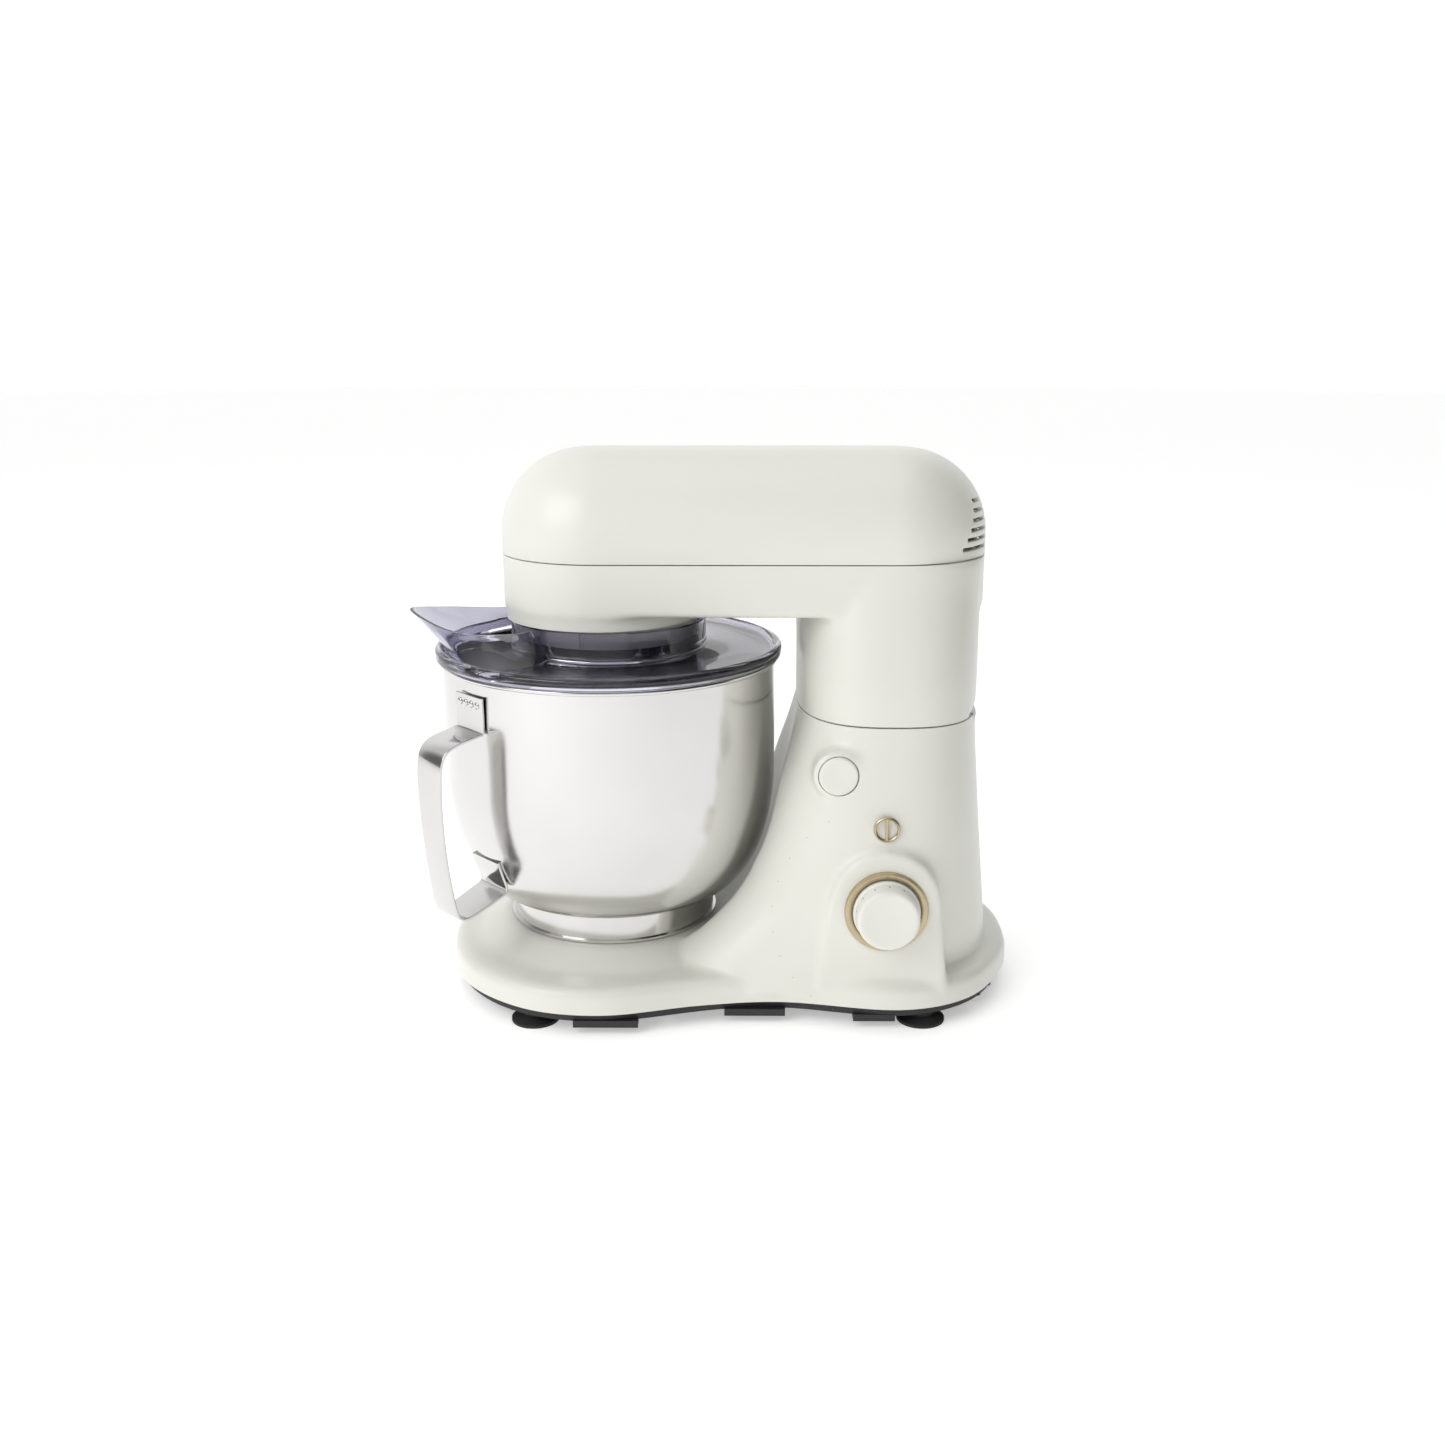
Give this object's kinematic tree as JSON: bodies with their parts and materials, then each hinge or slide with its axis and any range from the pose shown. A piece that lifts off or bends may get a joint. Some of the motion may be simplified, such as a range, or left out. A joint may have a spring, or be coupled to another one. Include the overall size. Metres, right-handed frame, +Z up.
{
  "type": "stand mixer",
  "caption": "Tilt-head stand mixer with steel bowl, clear splash guard, planetary beater drive, speed knob and release button.",
  "frame": {"origin": "centre of the outline on the table, under the feet", "axes": "+Z up, +X from the bowl towards the pedestal, -Y the side with the controls"},
  "size_m": [0.3914, 0.2301, 0.348],
  "materials": {
    "shell_white": "warm off-white moulded shell, semi-gloss",
    "black_plastic": "black moulded plastic, fine texture",
    "black_rubber": "black rubber",
    "zinc_screws": "zinc plated",
    "antique_gold": "antique gold, brushed",
    "circuit_board": "green circuit board",
    "cast_alloy": "sand-cast and machined",
    "ground_steel": "ground steel",
    "acetal_gears": "natural acetal",
    "bronze_bushes": "sintered bronze",
    "motor_steel": "laminated electrical steel",
    "copper_wire": "enamelled copper",
    "smoked_clear": "clear plastic with a violet smoke tint",
    "brushed_bowl": "fine circumferential brush, near-mirror",
    "polished_steel": "polished stainless steel",
    "beater_alloy": "cast aluminium, satin"
  },
  "bodies": {
    "stand": {"pedestal_shell": "shell_white", "base_plate": "black_plastic", "rubber_feet": "black_rubber", "foot_screws": "zinc_screws", "base_screws": "zinc_screws", "bowl_seat": "shell_white", "seat_screws": "zinc_screws", "dial_bezel": "antique_gold", "side_badge": "antique_gold", "speed_switch": "black_plastic", "control_board": "circuit_board", "cord_gland": "black_plastic", "hinge_block": "cast_alloy", "hinge_pin": "ground_steel", "hinge_bolts": "zinc_screws", "button_guide": "black_plastic", "button_spring": "ground_steel"},
    "head": {"head_cover": "shell_white", "head_body": "shell_white", "head_frame": "cast_alloy", "gear_cover": "cast_alloy", "neck_plate": "black_plastic", "ring_gear": "acetal_gears", "hub_collar": "shell_white", "main_bearings": "ground_steel", "layshaft_bearings": "ground_steel", "motor_stator": "motor_steel", "field_windings": "copper_wire", "motor_ends": "cast_alloy", "motor_bearings": "ground_steel", "motor_bolts": "zinc_screws", "brush_holders": "black_plastic", "drive_belt": "black_rubber", "frame_screws": "zinc_screws"},
    "guard": {"splash_guard": "smoked_clear"},
    "hub": {"planetary_hub": "cast_alloy", "main_shaft": "ground_steel", "main_gear": "acetal_gears", "planet_bushes": "bronze_bushes"},
    "beater": {"beater_shaft": "ground_steel", "planet_gear": "ground_steel", "flat_beater": "beater_alloy", "drive_pin": "ground_steel", "beater_spring": "ground_steel"},
    "layshaft": {"layshaft": "ground_steel", "pinion": "ground_steel", "large_pulley": "black_plastic"},
    "rotor": {"rotor_shaft": "ground_steel", "armature": "motor_steel", "commutator": "copper_wire", "cooling_fan": "black_plastic", "motor_pulley": "black_plastic"},
    "bowl": {"mixing_bowl": "brushed_bowl", "bowl_foot": "polished_steel", "bowl_handle": "polished_steel", "handle_rivets": "polished_steel"},
    "knob": {"speed_knob": "shell_white", "knob_spindle": "ground_steel"},
    "button": {"release_button": "shell_white", "latch_rod": "black_plastic"}
  },
  "joints": [
    {"name": "head_tilt", "type": "hinge", "parent": "stand", "child": "head", "pos_m": [0.1567, 0, 0.1875], "axis": [0, 1, 0], "range_deg": [0, 40]},
    {"name": "guard_twist", "type": "hinge", "parent": "head", "child": "guard", "pos_m": [-0.0673, 0, 0.224], "axis": [0, 0, 1], "range_deg": [0, 25]},
    {"name": "hub_spin", "type": "hinge", "parent": "head", "child": "hub", "pos_m": [-0.0673, 0, 0.235], "axis": [0, 0, 1], "continuous": true},
    {"name": "beater_spin", "type": "hinge", "parent": "hub", "child": "beater", "pos_m": [-0.0398, 0, 0.235], "axis": [0, 0, 1], "continuous": true},
    {"name": "layshaft_spin", "type": "hinge", "parent": "head", "child": "layshaft", "pos_m": [-0.0223, 0, 0.28], "axis": [0, 0, 1], "continuous": true},
    {"name": "rotor_spin", "type": "hinge", "parent": "head", "child": "rotor", "pos_m": [0.1027, 0, 0.23], "axis": [0, 0, 1], "continuous": true},
    {"name": "bowl_twist", "type": "hinge", "parent": "stand", "child": "bowl", "pos_m": [-0.0673, 0, 0.05], "axis": [0, 0, 1], "range_deg": [-25, 0]},
    {"name": "speed_turn", "type": "hinge", "parent": "stand", "child": "knob", "pos_m": [0.1065, -0.099, 0.077], "axis": [0, -1, 0], "range_deg": [-30, 150]},
    {"name": "release_push", "type": "slide", "parent": "stand", "child": "button", "axis": [0, 1, 0], "range_m": [0, 0.005], "stiffness_N_per_m": 400, "deforming": ["button_spring"]}
  ],
  "couplings": [
    {"joint": "beater_spin", "follows": "hub_spin", "ratio": -3.75},
    {"joint": "layshaft_spin", "follows": "hub_spin", "ratio": -5},
    {"joint": "rotor_spin", "follows": "hub_spin", "ratio": -20}
  ]
}
